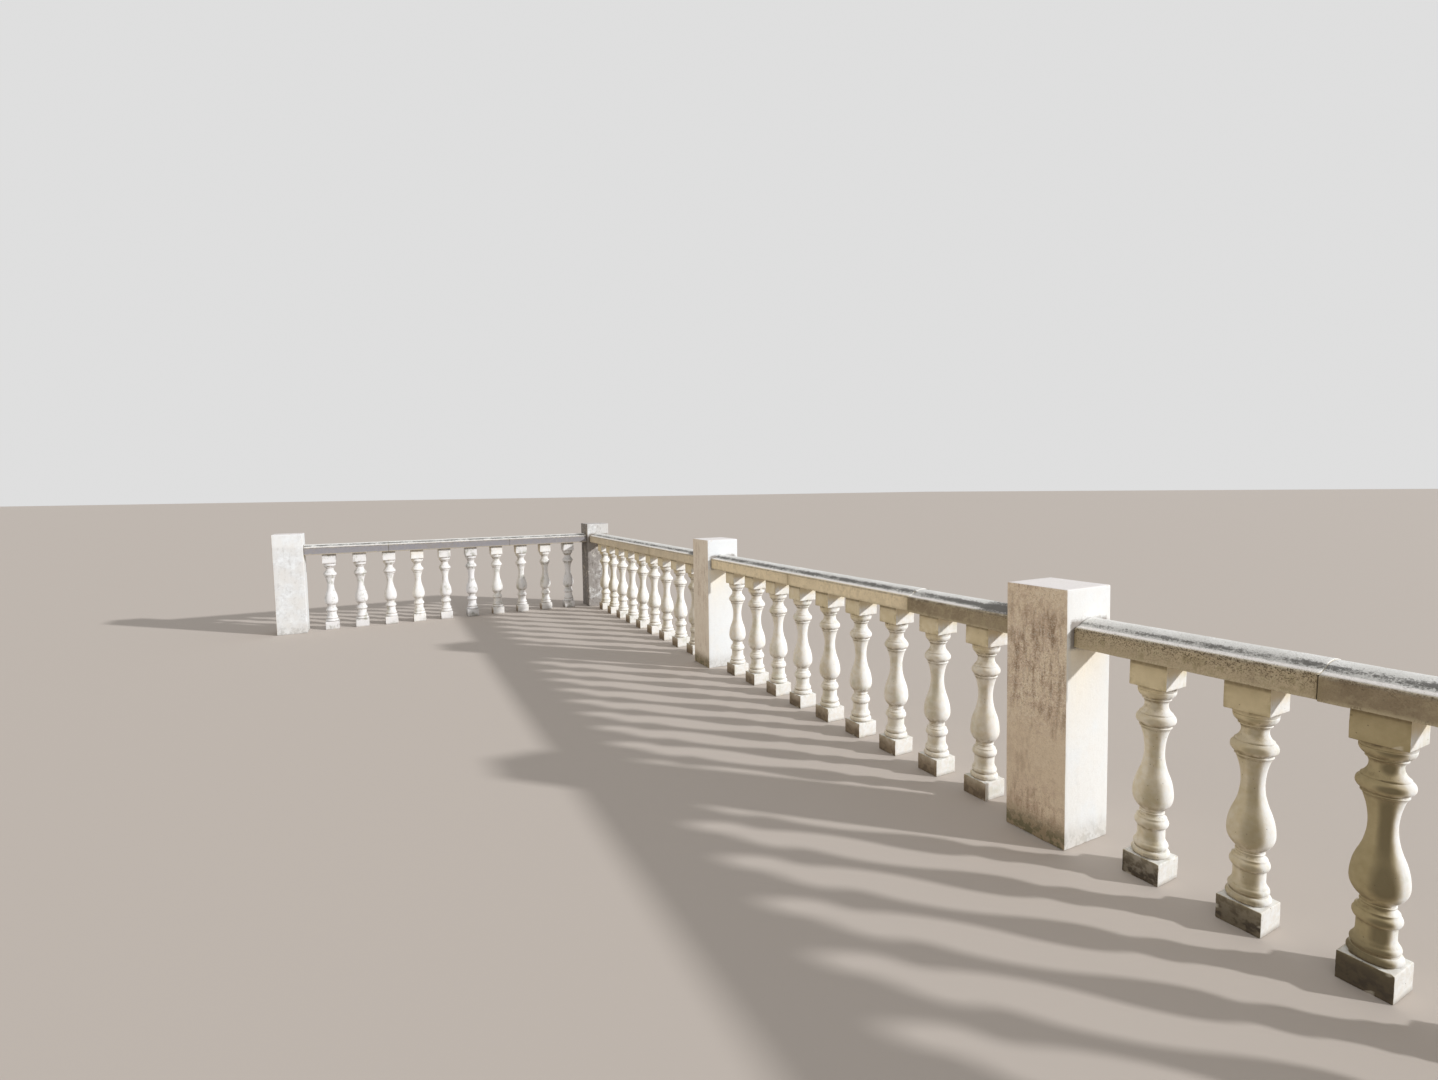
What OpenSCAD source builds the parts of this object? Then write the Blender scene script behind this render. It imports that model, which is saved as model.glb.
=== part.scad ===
// Stone terrace balustrade, in millimetres.
// A straight run of three bays along +X and a return bay along -Y, at a right angle.
// Each bay is a row of turned balusters between plain square piers, under a jointed rail.
// The origin is the centre of the corner pier's foot, and the balusters stand on the ground.

/* [Plan] */
// Clear length of the return bay, from pier face to pier face
return_clear = 3286; // [2400:1:4200]
// Balusters in the return bay
return_count = 10; // [9:1:12]
// Clear length of the first bay, next to the corner
first_clear = 3361; // [2400:1:4200]
// Balusters in the first bay
first_count = 9; // [7:1:12]
// Clear length of the second bay
second_clear = 3092; // [2400:1:4200]
// Balusters in the second bay
second_count = 9; // [8:1:12]
// Clear length of the third bay
third_clear = 3234; // [2400:1:4200]
// Balusters in the third bay
third_count = 9; // [7:1:12]

/* [Rail joints] */
// First joint of the return bay, in balusters from the corner
return_joint_1 = 3.5; // [1.5:0.05:5]
// Second joint of the return bay, over the eighth baluster
return_joint_2 = 8; // [6:0.05:9.5]
// Only joint of the first bay
first_joint = 6.45; // [3.5:0.05:8]
// First joint of the second bay, almost over the fourth baluster
second_joint_1 = 3.95; // [1.5:0.05:5.5]
// Second joint of the second bay
second_joint_2 = 7.65; // [6:0.05:8.5]
// First joint of the third bay
third_joint_1 = 2.6; // [1.5:0.05:4.5]
// Second joint of the third bay
third_joint_2 = 6.5; // [5:0.05:8.5]

/* [Piers] */
// Width of a pier, square on plan
pier_w = 295; // [240:1:400]
// Height of a pier above the ground
pier_h = 1130; // [1080:1:1300]
// Worn chamfer on the pier's edges
pier_edge = 5; // [2:0.5:12]

/* [Rail] */
// Width of the rail
rail_w = 228; // [170:1:235]
// Height of the rail's upright face
rail_face_h = 83; // [60:1:110]
// Width of the sloping margin beside the crown
rail_margin_w = 36; // [15:1:45]
// Rise of the margin from the edge to the crown's foot
rail_margin_rise = 8; // [2:1:15]
// Height of the rounded crown above the margin
rail_crown_rise = 25; // [12:1:40]

/* [Mortar] */
// Thickness of the bed between a baluster and the rail
bed_h = 5; // [2:0.5:10]
// Depth of the beds' sides behind the baluster's block
bed_recess = 8; // [2:0.5:20]
// Width of the joints between rail stones and against the piers
joint_w = 3.5; // [2:0.5:12]
// Depth of the joints' face behind the stone
joint_recess = 3; // [1:0.5:10]

/* [Baluster blocks] */
// Height of a baluster
baluster_h = 879; // [820:1:940]
// Width of the square plinth
plinth_w = 138; // [134:1:156]
// Height of the plinth
plinth_h = 90; // [60:1:120]
// Width of the square abacus
abacus_w = 136; // [124:1:156]
// Height of the abacus
abacus_h = 103; // [70:1:130]

/* [Baluster foot mouldings] */
// Diameter of the lower round on the plinth
foot_round_d = 133; // [124:1:134]
// Height of the lower round
foot_round_h = 28; // [20:1:34]
// Height of the notch between the two rounds
foot_notch_h = 3; // [2:0.5:8]
// Diameter of the upper round
foot_bead_d = 120; // [114:1:124]
// Height of the upper round
foot_bead_h = 27; // [18:1:32]
// Diameter of the drum's foot, where it spreads on the upper round
drum_foot_d = 108; // [100:1:110]
// Height over which the drum's foot spreads
drum_foot_h = 20; // [12:1:28]
// Diameter of the drum
drum_d = 95; // [84:1:99]
// Height of the drum with its foot
drum_h = 55; // [44:1:66]
// Diameter of the ring above the drum
ring_d = 117; // [110:1:126]
// Height of the ring
ring_h = 43; // [34:1:50]
// Diameter of the lip on the ring
ring_lip_d = 105; // [98:1:108]
// Height of the cove from the lip to the waist
ring_cove_h = 18; // [12:1:26]

/* [Baluster vase] */
// Diameter of the waist under the vase
waist_d = 80; // [72:1:83]
// Diameter of the fillet between waist and vase
waist_fillet_d = 86; // [84:1:92]
// Height of that fillet
waist_fillet_h = 5; // [3:0.5:8]
// Largest diameter of the vase
vase_d = 139; // [118:1:146]
// Height of the vase's widest level above its lower end
vase_rise = 67; // [58:1:80]
// Share of the vase's lower curve that swells out
vase_belly = 0.8; // [0.7:0.01:0.92]
// Share of the vase's upper curve that swells out
vase_shoulder = 0.47; // [0.35:0.01:0.6]
// Diameter at the narrowest part of the neck
neck_d = 69; // [60:1:78]
// Depth of that level below the collar's fillet
neck_drop = 96; // [80:1:110]

/* [Baluster cap mouldings] */
// Diameter of the fillet under the collar
collar_fillet_d = 112; // [108:1:118]
// Height of that fillet
collar_fillet_h = 7; // [5:0.5:10]
// Diameter of the collar
collar_d = 137; // [128:1:144]
// Height of the collar
collar_h = 48; // [40:1:56]
// Diameter of the lip on the collar
collar_lip_d = 116; // [110:1:120]
// Height of the cove from the lip to the cap's neck
collar_cove_h = 36; // [28:1:44]
// Diameter of the cap's neck
cap_neck_d = 79; // [70:1:86]
// Height of the cove from the cap's neck to the fillet
cap_cove_h = 20; // [14:1:26]
// Diameter of the fillet under the echinus
cap_fillet_d = 99; // [94:1:103]
// Height of that fillet
cap_fillet_h = 7; // [5:0.5:10]
// Diameter of the rounded echinus
echinus_d = 131; // [124:1:133]
// Height of the echinus
echinus_h = 31; // [24:1:36]
// Diameter of the round fillet under the abacus
abacus_fillet_d = 132; // [128:1:134]
// Height of that fillet
abacus_fillet_h = 14; // [8:1:18]

/* [Hidden] */
$fn = 64;

render_colour = [0.80, 0.75, 0.68];
rail_colour = [0.70, 0.66, 0.58];
baluster_colour = [0.90, 0.87, 0.80];
mortar_colour = [0.42, 0.39, 0.35];

// Facets of one moulding's arc in the turned outline
arc_steps = 6;
// Facets of the vase's long hollow, which runs on up the neck
hollow_steps = 12;

// Height and depth of the thin quirk under each lip and fillet
quirk_h = 3;
quirk_depth = 3;
// Depth of the notch between the two rounds of the foot
foot_notch_depth = 6;
// Angle of the echinus's round, up to its upright edge
echinus_sweep = 60;
// Length by which the turned shaft runs into the blocks above and below it
shaft_lap = 1;

// Radii behind the mouldings, cut back from the bead, lip or fillet that stands before them
foot_notch_r = foot_bead_d / 2 - foot_notch_depth;
ring_top_r = ring_lip_d / 2 - quirk_depth;
collar_foot_r = collar_fillet_d / 2 - quirk_depth;
collar_top_r = collar_lip_d / 2 - quirk_depth;
echinus_foot_r = cap_fillet_d / 2 - quirk_depth;
echinus_top_r = abacus_fillet_d / 2 - quirk_depth;

// Levels of the mouldings, up from the plinth
foot_bead_z = plinth_h + foot_round_h + foot_notch_h;
drum_z = foot_bead_z + foot_bead_h;
ring_z = drum_z + drum_h;
ring_lip_z = ring_z + ring_h;
waist_z = ring_lip_z + ring_cove_h;
vase_foot_z = waist_z + waist_fillet_h;
vase_z = vase_foot_z + vase_rise;

// Levels of the mouldings, down from the abacus
abacus_z = baluster_h - abacus_h;
abacus_fillet_z = abacus_z - abacus_fillet_h;
echinus_z = abacus_fillet_z - echinus_h;
cap_fillet_z = echinus_z - cap_fillet_h;
cap_neck_z = cap_fillet_z - cap_cove_h;
collar_lip_z = cap_neck_z - collar_cove_h;
collar_z = collar_lip_z - collar_h;
collar_fillet_z = collar_z - collar_fillet_h;
neck_z = collar_fillet_z - neck_drop;

// The vase's lower curve is two arcs that meet smoothly, a convex belly and a small hollow
belly_in = (vase_d - waist_d) / 2;
belly_radii = (vase_rise * vase_rise + belly_in * belly_in) / (2 * belly_in);
belly_r = belly_radii * vase_belly;
belly_hollow_r = belly_radii - belly_r;
belly_end = atan2(vase_rise, belly_radii - belly_in);

// The vase's upper curve is two such arcs, a convex shoulder and a hollow neck
vase_in = (vase_d - neck_d) / 2;
vase_up = neck_z - vase_z;
vase_radii = (vase_up * vase_up + vase_in * vase_in) / (2 * vase_in);
shoulder_r = vase_radii * vase_shoulder;
hollow_r = vase_radii - shoulder_r;
shoulder_end = atan2(vase_up, vase_radii - vase_in);
hollow_end = asin(min(1, neck_drop / hollow_r));

// Radius of the echinus's round, below its quirk
echinus_r = (echinus_h - quirk_h) / sin(echinus_sweep);

// Levels and lines of the rail
rail_z = baluster_h + bed_h;
rail_edge_z = rail_z + rail_face_h;
crown_half = rail_w / 2 - rail_margin_w;
crown_r = (crown_half * crown_half + rail_crown_rise * rail_crown_rise) / (2 * rail_crown_rise);
crown_sweep = asin(min(1, crown_half / crown_r));
crown_steps = 10;

// Pier centres
first_pier_x = pier_w + first_clear;
second_pier_x = first_pier_x + pier_w + second_clear;
run_end_x = second_pier_x + pier_w + third_clear;
return_end_y = -(pier_w + return_clear);

// Points of an arc about c, from angle a to angle b, in the plane of radius and height
function arc(c, r, a, b, steps = arc_steps) =
    [for (i = [0:steps]) let (t = a + (b - a) * i / steps) c + r * [cos(t), sin(t)]];

// Radius of the arc that leaves an upright line and moves out by d over the height h
function cove_r(h, d) = (h * h + d * d) / (2 * d);

// Outline of a hollow that widens downwards, from radius out to radius neck
function cove_up(out, neck, z, h) = let (r = cove_r(h, out - neck), a = asin(min(1, h / r)))
    arc([neck + r, z + h], r, 180 + a, 180);

// Outline of a hollow that widens upwards, from radius neck to radius out
function cove_out(neck, out, z, h) = let (r = cove_r(h, out - neck), a = asin(min(1, h / r)))
    arc([neck + r, z], r, 180, 180 - a);

// Outline of a bead of half width h / 2, cut where it meets the radii below and above it
function bead(out, z, h, below, above) =
    let (r = h / 2, c = out - r, a = acos(max(0, min(1, (below - c) / r))),
         b = acos(max(0, min(1, (above - c) / r))))
    arc([c, z + r], r, -a, b);

// Outline of a plain upright band
function fillet(r, z, h) = [[r, z], [r, z + h]];

// Half outline of the turned shaft, from the plinth to the abacus
function shaft_outline() = concat(
    [[0, plinth_h - shaft_lap], [(foot_round_d - foot_round_h) / 2, plinth_h - shaft_lap]],
    bead(foot_round_d / 2, plinth_h, foot_round_h, 0, foot_notch_r),
    bead(foot_bead_d / 2, foot_bead_z, foot_bead_h, foot_notch_r, drum_foot_d / 2),
    cove_up(drum_foot_d / 2, drum_d / 2, drum_z, drum_foot_h),
    bead(ring_d / 2, ring_z, ring_h, drum_d / 2, ring_top_r),
    [[ring_top_r, ring_lip_z - quirk_h]],
    cove_up(ring_lip_d / 2, waist_d / 2, ring_lip_z, ring_cove_h),
    fillet(waist_fillet_d / 2, waist_z, waist_fillet_h),
    arc([waist_d / 2 + belly_hollow_r, vase_foot_z], belly_hollow_r, 180, 180 - belly_end),
    arc([vase_d / 2 - belly_r, vase_z], belly_r, -belly_end, 0),
    arc([vase_d / 2 - shoulder_r, vase_z], shoulder_r, 0, shoulder_end),
    arc([neck_d / 2 + hollow_r, neck_z], hollow_r, 180 + shoulder_end, 180 - hollow_end, hollow_steps),
    fillet(collar_fillet_d / 2, collar_fillet_z, collar_fillet_h - quirk_h),
    [[collar_foot_r, collar_z - quirk_h]],
    bead(collar_d / 2, collar_z, collar_h, collar_foot_r, collar_top_r),
    [[collar_top_r, collar_lip_z - quirk_h]],
    cove_up(collar_lip_d / 2, cap_neck_d / 2, collar_lip_z, collar_cove_h),
    cove_out(cap_neck_d / 2, echinus_foot_r, cap_neck_z, cap_cove_h),
    fillet(cap_fillet_d / 2, cap_fillet_z, cap_fillet_h - quirk_h),
    [[echinus_foot_r, echinus_z - quirk_h]],
    arc([echinus_d / 2 - echinus_r, abacus_fillet_z - quirk_h], echinus_r, -echinus_sweep, 0),
    [[echinus_top_r, abacus_fillet_z - quirk_h], [echinus_top_r, abacus_fillet_z]],
    [[abacus_fillet_d / 2, abacus_fillet_z], [abacus_fillet_d / 2, abacus_z + shaft_lap]],
    [[0, abacus_z + shaft_lap]]
);

// Outline of the rail's section, set in from its faces by inset
function rail_outline(inset = 0) = concat(
    [[-rail_w / 2 + inset, rail_z], [rail_w / 2 - inset, rail_z]],
    [[rail_w / 2 - inset, rail_edge_z - inset]],
    arc([0, rail_edge_z + rail_margin_rise + rail_crown_rise - crown_r], crown_r - inset,
        90 - crown_sweep, 90 + crown_sweep, crown_steps),
    [[-rail_w / 2 + inset, rail_edge_z - inset]]
);

// Middle of baluster i, counted from 1 along a bay, measured from the pier's face
function baluster_at(i, clear, count) = (clear + plinth_w) * i / (count + 1) - plinth_w / 2;

module chamfered_square(w, c) {
    k = w / 2;
    polygon([[k - c, -k], [k, c - k], [k, k - c], [k - c, k],
             [c - k, k], [-k, k - c], [-k, c - k], [c - k, -k]]);
}

// Square pier with its foot at the origin and its arrises worn to a small chamfer
module pier() {
    color(render_colour)
    intersection() {
        linear_extrude(height = pier_h) chamfered_square(pier_w, pier_edge);
        pier_side_cut();
        rotate([0, 0, 90]) pier_side_cut();
    }
}

// Prism along Y that chamfers the two top edges of a pier
module pier_side_cut() {
    k = pier_w / 2;
    rotate([90, 0, 0])
        linear_extrude(height = pier_w, center = true)
            polygon([[-k, 0], [k, 0], [k, pier_h - pier_edge], [k - pier_edge, pier_h],
                     [pier_edge - k, pier_h], [-k, pier_h - pier_edge]]);
}

// One baluster, cast in one piece: plinth, turned shaft and abacus
module baluster() {
    union() {
        translate([-plinth_w / 2, -plinth_w / 2, 0]) cube([plinth_w, plinth_w, plinth_h]);
        rotate_extrude() polygon(shaft_outline());
        translate([-abacus_w / 2, -abacus_w / 2, abacus_z]) cube([abacus_w, abacus_w, abacus_h]);
    }
}

// Balusters a to b of a bay that runs along +X from the face of its first pier
module balusters(clear, count, a, b) {
    color(baluster_colour)
    for (i = [a:b]) translate([pier_w / 2 + baluster_at(i, clear, count), 0, 0]) baluster();
}

// Rail stone between two joints, each given in balusters; 0 and count + 1 are the piers
module rail_stone(clear, count, a, b) {
    start = a == 0 ? joint_w : baluster_at(a, clear, count) + joint_w / 2;
    end = b == count + 1 ? clear - joint_w : baluster_at(b, clear, count) - joint_w / 2;
    color(rail_colour)
    translate([pier_w / 2 + start, 0, 0])
        rotate([90, 0, 90]) linear_extrude(height = end - start) polygon(rail_outline());
}

// Mortar of a bay: a bed on each baluster, a joint between stones and one against each pier
module mortar(clear, count, joints) {
    bed_w = abacus_w - 2 * bed_recess;
    starts = concat([0], [for (j = joints) baluster_at(j, clear, count) - joint_w / 2], [clear - joint_w]);
    color(mortar_colour)
    translate([pier_w / 2, 0, 0]) {
        for (x = starts)
            translate([x, 0, 0])
                rotate([90, 0, 90]) linear_extrude(height = joint_w) polygon(rail_outline(joint_recess));
        for (i = [1:count])
            translate([baluster_at(i, clear, count) - bed_w / 2, -bed_w / 2, baluster_h])
                cube([bed_w, bed_w, bed_h]);
    }
}

// Places a bay of the straight run behind the pier at x
module run_bay(x) {
    translate([x, 0, 0]) children();
}

// Turns a bay to run along -Y from the corner
module return_bay() {
    rotate([0, 0, -90]) children();
}

module corner_pier() { pier(); }
module return_end_pier() { translate([0, return_end_y, 0]) pier(); }
module first_pier() { translate([first_pier_x, 0, 0]) pier(); }
module second_pier() { translate([second_pier_x, 0, 0]) pier(); }
module run_end_pier() { translate([run_end_x, 0, 0]) pier(); }

module return_balusters_1() { return_bay() balusters(return_clear, return_count, 1, floor(return_joint_1)); }
module return_balusters_2() {
    return_bay() balusters(return_clear, return_count, floor(return_joint_1) + 1, floor(return_joint_2));
}
module return_balusters_3() {
    return_bay() balusters(return_clear, return_count, floor(return_joint_2) + 1, return_count);
}
module first_balusters_1() { run_bay(0) balusters(first_clear, first_count, 1, floor(first_joint)); }
module first_balusters_2() {
    run_bay(0) balusters(first_clear, first_count, floor(first_joint) + 1, first_count);
}
module second_balusters_1() {
    run_bay(first_pier_x) balusters(second_clear, second_count, 1, floor(second_joint_1));
}
module second_balusters_2() {
    run_bay(first_pier_x)
        balusters(second_clear, second_count, floor(second_joint_1) + 1, floor(second_joint_2));
}
module second_balusters_3() {
    run_bay(first_pier_x)
        balusters(second_clear, second_count, floor(second_joint_2) + 1, second_count);
}
module third_balusters_1() {
    run_bay(second_pier_x) balusters(third_clear, third_count, 1, floor(third_joint_1));
}
module third_balusters_2() {
    run_bay(second_pier_x)
        balusters(third_clear, third_count, floor(third_joint_1) + 1, floor(third_joint_2));
}
module third_balusters_3() {
    run_bay(second_pier_x)
        balusters(third_clear, third_count, floor(third_joint_2) + 1, third_count);
}

module return_rail_1() { return_bay() rail_stone(return_clear, return_count, 0, return_joint_1); }
module return_rail_2() {
    return_bay() rail_stone(return_clear, return_count, return_joint_1, return_joint_2);
}
module return_rail_3() {
    return_bay() rail_stone(return_clear, return_count, return_joint_2, return_count + 1);
}
module first_rail_1() { run_bay(0) rail_stone(first_clear, first_count, 0, first_joint); }
module first_rail_2() { run_bay(0) rail_stone(first_clear, first_count, first_joint, first_count + 1); }
module second_rail_1() {
    run_bay(first_pier_x) rail_stone(second_clear, second_count, 0, second_joint_1);
}
module second_rail_2() {
    run_bay(first_pier_x) rail_stone(second_clear, second_count, second_joint_1, second_joint_2);
}
module second_rail_3() {
    run_bay(first_pier_x) rail_stone(second_clear, second_count, second_joint_2, second_count + 1);
}
module third_rail_1() { run_bay(second_pier_x) rail_stone(third_clear, third_count, 0, third_joint_1); }
module third_rail_2() {
    run_bay(second_pier_x) rail_stone(third_clear, third_count, third_joint_1, third_joint_2);
}
module third_rail_3() {
    run_bay(second_pier_x) rail_stone(third_clear, third_count, third_joint_2, third_count + 1);
}

module return_mortar() {
    return_bay() mortar(return_clear, return_count, [return_joint_1, return_joint_2]);
}
module first_mortar() { run_bay(0) mortar(first_clear, first_count, [first_joint]); }
module second_mortar() {
    run_bay(first_pier_x) mortar(second_clear, second_count, [second_joint_1, second_joint_2]);
}
module third_mortar() {
    run_bay(second_pier_x) mortar(third_clear, third_count, [third_joint_1, third_joint_2]);
}

corner_pier();
return_end_pier();
first_pier();
second_pier();
run_end_pier();
return_balusters_1();
return_balusters_2();
return_balusters_3();
first_balusters_1();
first_balusters_2();
second_balusters_1();
second_balusters_2();
second_balusters_3();
third_balusters_1();
third_balusters_2();
third_balusters_3();
return_rail_1();
return_rail_2();
return_rail_3();
first_rail_1();
first_rail_2();
second_rail_1();
second_rail_2();
second_rail_3();
third_rail_1();
third_rail_2();
third_rail_3();
return_mortar();
first_mortar();
second_mortar();
third_mortar();
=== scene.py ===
import math

import bpy
import numpy as np
from mathutils import Matrix, Vector


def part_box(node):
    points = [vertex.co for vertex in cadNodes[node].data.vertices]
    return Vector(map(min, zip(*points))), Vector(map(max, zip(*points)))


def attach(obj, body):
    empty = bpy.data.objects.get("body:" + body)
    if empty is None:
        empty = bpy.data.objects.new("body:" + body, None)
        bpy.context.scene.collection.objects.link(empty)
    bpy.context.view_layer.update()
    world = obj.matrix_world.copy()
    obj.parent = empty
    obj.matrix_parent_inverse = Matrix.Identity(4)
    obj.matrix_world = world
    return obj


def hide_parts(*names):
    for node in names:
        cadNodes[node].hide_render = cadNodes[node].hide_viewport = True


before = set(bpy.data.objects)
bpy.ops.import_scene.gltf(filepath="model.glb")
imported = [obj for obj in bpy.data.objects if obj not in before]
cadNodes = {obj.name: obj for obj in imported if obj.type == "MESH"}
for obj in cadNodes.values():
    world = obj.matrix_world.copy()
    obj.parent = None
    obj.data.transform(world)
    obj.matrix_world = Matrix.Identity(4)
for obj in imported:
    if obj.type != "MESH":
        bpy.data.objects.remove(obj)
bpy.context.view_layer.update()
mm = 0.001

for spare in ("Cube", "Light", "Camera"):  # what an empty Blender file starts with
    if spare in bpy.data.objects:
        bpy.data.objects.remove(bpy.data.objects[spare])


# Camera at the photo's own place, angle and field of view
terraceCamera = {
    "place": (8.940, -2.702, 1.561),  # metres
    "heading": (-0.88741, 0.46096),  # direction on plan, a unit vector
    "down": 4.27,  # degrees below the horizon
    "roll": -0.72,  # degrees
    "focalPixels": 662.9,
    "photoWide": 1438,
    "sensorWide": 36,  # millimetres
}


def addObject(name, data):
    thing = bpy.data.objects.new(name, data)
    bpy.context.scene.collection.objects.link(thing)
    return thing


def makeCamera(look):
    data = bpy.data.cameras.new("terraceCamera")
    camera = addObject("terraceCamera", data)
    data.sensor_width = look["sensorWide"]
    data.lens = look["focalPixels"] / look["photoWide"] * data.sensor_width
    down, roll = math.radians(look["down"]), math.radians(look["roll"])
    headX, headY = look["heading"]
    ahead = Vector((headX * math.cos(down), headY * math.cos(down), -math.sin(down)))
    level = Vector((headY, -headX, 0))
    rise = level.cross(ahead)
    side = math.cos(roll) * level + math.sin(roll) * rise
    up = -math.sin(roll) * level + math.cos(roll) * rise
    turned = Matrix((side, up, -ahead)).transposed()
    camera.matrix_world = Matrix.Translation(look["place"]) @ turned.to_4x4()
    bpy.context.scene.camera = camera
    print("camera ready, lens", round(data.lens, 2))


makeCamera(terraceCamera)


# Smooth noise on a lattice of cubes, the same at every run
def latticeValue(cell, seed):  # large odd numbers stir the cells, so that neighbours differ
    mixed = (cell[:, 0] * 73856093) ^ (cell[:, 1] * 19349663) ^ (cell[:, 2] * 83492791) ^ (seed * 2654435)
    mixed = mixed & 0xffffffff
    mixed = ((mixed ^ (mixed >> 15)) * 2246822519) & 0xffffffff
    mixed = ((mixed ^ (mixed >> 13)) * 3266489917) & 0xffffffff
    return ((mixed ^ (mixed >> 16)) & 0xffff) / 32767.5 - 1


def softNoise(points, size, seed):
    spot = points.reshape(-1, 3) / size
    cell = np.floor(spot).astype(np.int64)
    part = spot - cell
    part = part * part * (3 - 2 * part)
    total = np.zeros(len(spot))
    for corner in range(8):
        step = np.array([corner & 1, corner >> 1 & 1, corner >> 2 & 1])
        share = np.prod(np.where(step == 1, part, 1 - part), axis=1)
        total += share * latticeValue(cell + step, seed)
    return total.reshape(points.shape[:-1])


def brokenNoise(points, size, seed, octaves=3):
    return sum(softNoise(points, size / 2 ** k, seed + k) / 2 ** k for k in range(octaves))


# A closed skin over rings of points, with a fan of triangles over each end
def ringNormals(rings):
    around = np.roll(rings, -1, axis=1) - np.roll(rings, 1, axis=1)
    along = np.gradient(rings, axis=0)
    across = np.cross(around, along)
    return across / np.maximum(np.linalg.norm(across, axis=2, keepdims=True), 1e-12)


def skinOf(rings):
    count, points = rings.shape[:2]
    ring = np.arange(count - 1)[:, None] * points
    here = ring + np.arange(points)[None, :]
    beside = ring + (np.arange(points)[None, :] + 1) % points
    faces = np.stack([here, beside, beside + points, here + points], axis=2).reshape(-1, 4).tolist()
    foot, head = count * points, count * points + 1
    last = (count - 1) * points
    for k in range(points):
        faces.append([foot, (k + 1) % points, k])
        faces.append([head, last + k, last + (k + 1) % points])
    spots = np.concatenate([rings.reshape(-1, 3), rings[0].mean(0)[None], rings[-1].mean(0)[None]])
    return spots, faces


# One Blender object from several skins, each a tuple of rings and its painted masks
def pieceFrom(node, skins, finish):
    name = node + "_weathered"
    spots, faces, masks = [], [], {}
    for rings, painted in skins:
        some, sides = skinOf(rings)
        start = sum(len(s) for s in spots)
        faces += [[start + k for k in side] for side in sides]
        spots.append(some)
        for mask, values in painted.items():
            values = np.broadcast_to(values, rings.shape[:2])
            ends = [values[0].mean(), values[-1].mean()]
            masks.setdefault(mask, []).append(np.concatenate([values.reshape(-1), ends]))
    mesh = bpy.data.meshes.new(name)
    mesh.from_pydata(np.concatenate(spots), [], faces)
    for mask, values in masks.items():
        layer = mesh.attributes.new(mask, "FLOAT", "POINT")
        layer.data.foreach_set("value", np.concatenate(values).astype(np.float32))
    mesh.polygons.foreach_set("use_smooth", [True] * len(mesh.polygons))
    mesh.materials.append(finish)
    mesh.update()
    piece = addObject(name, mesh)
    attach(piece, "root")
    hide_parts(node)


# A round bite out of the stone: points inside the ball move to its skin
chipShape = {"ragged": 0.25, "lumpWide": 0.6}  # shares of the ball's radius


def chipOut(rings, centre, radius, seed):
    away = rings - centre
    far = np.linalg.norm(away, axis=2)
    ragged = radius * (1 + chipShape["ragged"] * softNoise(rings, radius * chipShape["lumpWide"], seed))
    inside = far < ragged
    rings[inside] = centre + away[inside] * (ragged[inside] / np.maximum(far[inside], 1e-6))[:, None]
    return inside


# A slow swell and a fine grit of the surface, each with its height and width
def unevenness(spots, wear, seed, gritSeed):
    (swell, swellWide), (grit, gritWide) = wear["swell"], wear["grit"]
    return swell * softNoise(spots, swellWide, seed), grit * brokenNoise(spots, gritWide, gritSeed, 2)


def clamp(values):  # held between 0 and 1
    return np.clip(values, 0, 1)


def outOfPlumb(rings, lean, tall):  # the top moves by the lean, the foot stays
    rings[..., :2] += (rings[..., 2:] / tall) * lean


# The values of all, then of a bay, then of one piece
def valuesFor(wear, *names):
    values = dict(wear["all"])
    for name in names:
        values.update(wear["own"].get(name, {}))
    return values


def nodesOf(kind):
    return sorted(node for node in cadNodes if kind in node)


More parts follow.
